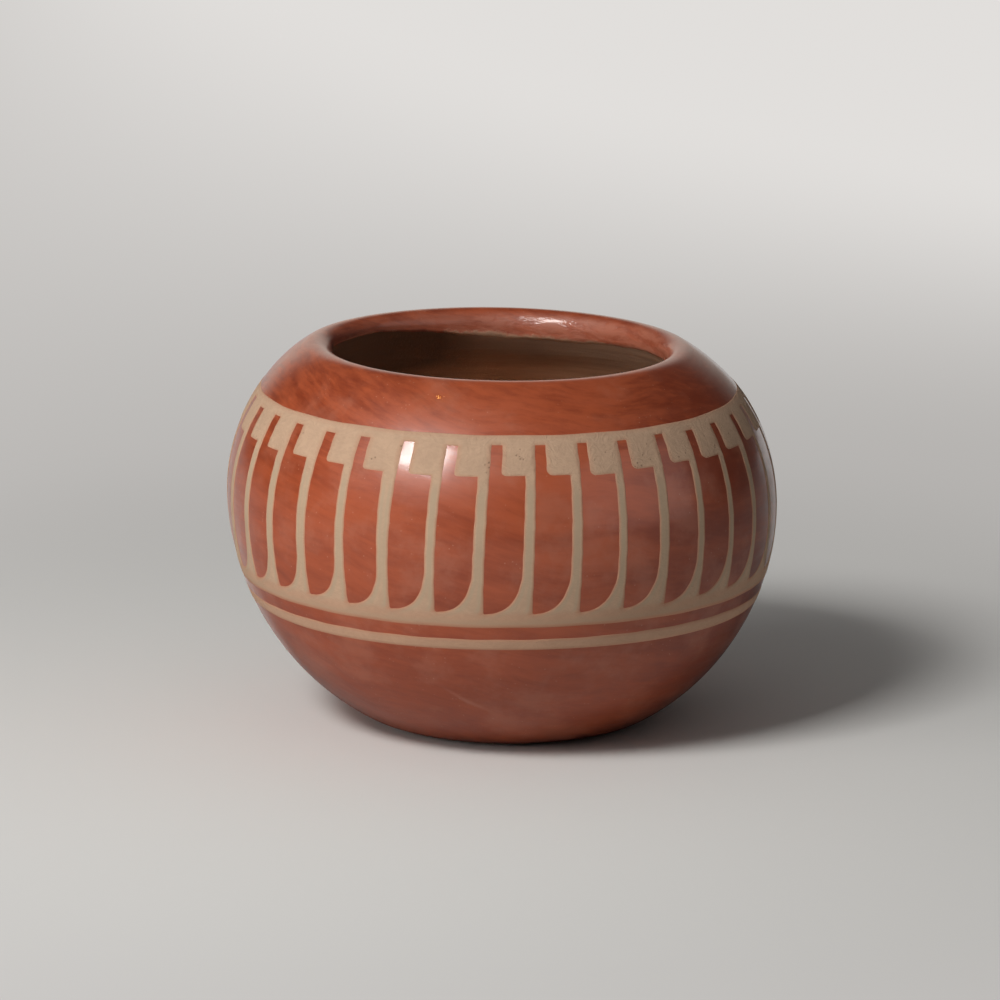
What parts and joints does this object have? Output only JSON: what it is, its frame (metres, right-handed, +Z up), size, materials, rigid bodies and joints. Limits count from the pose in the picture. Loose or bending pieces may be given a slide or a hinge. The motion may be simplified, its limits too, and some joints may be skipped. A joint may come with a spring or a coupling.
{
  "type": "coil-built pottery jar",
  "caption": "Round hand-built redware jar with a polished red slip, a buff painted feather band round its belly and a wide in-turned mouth.",
  "frame": {"origin": "the middle of the jar's box, on the plane it stands on", "axes": "+Z up through the mouth, -Y towards the pictured front, +X to the right of that view"},
  "size_m": [0.1524, 0.1524, 0.1054],
  "materials": {
    "clay": "matte, unslipped fired clay",
    "red_slip": "stone-polished red slip, glossy",
    "buff_paint": "matte buff slip paint"
  },
  "bodies": {
    "root": {"clay_base": "clay", "wall_coil_1": "clay", "wall_coil_2": "clay", "wall_coil_3": "clay", "wall_coil_4": "clay", "rim_coil": "clay", "red_slip": "red_slip", "buff_stripe": "buff_paint", "buff_feather_band": "buff_paint"}
  },
  "joints": []
}
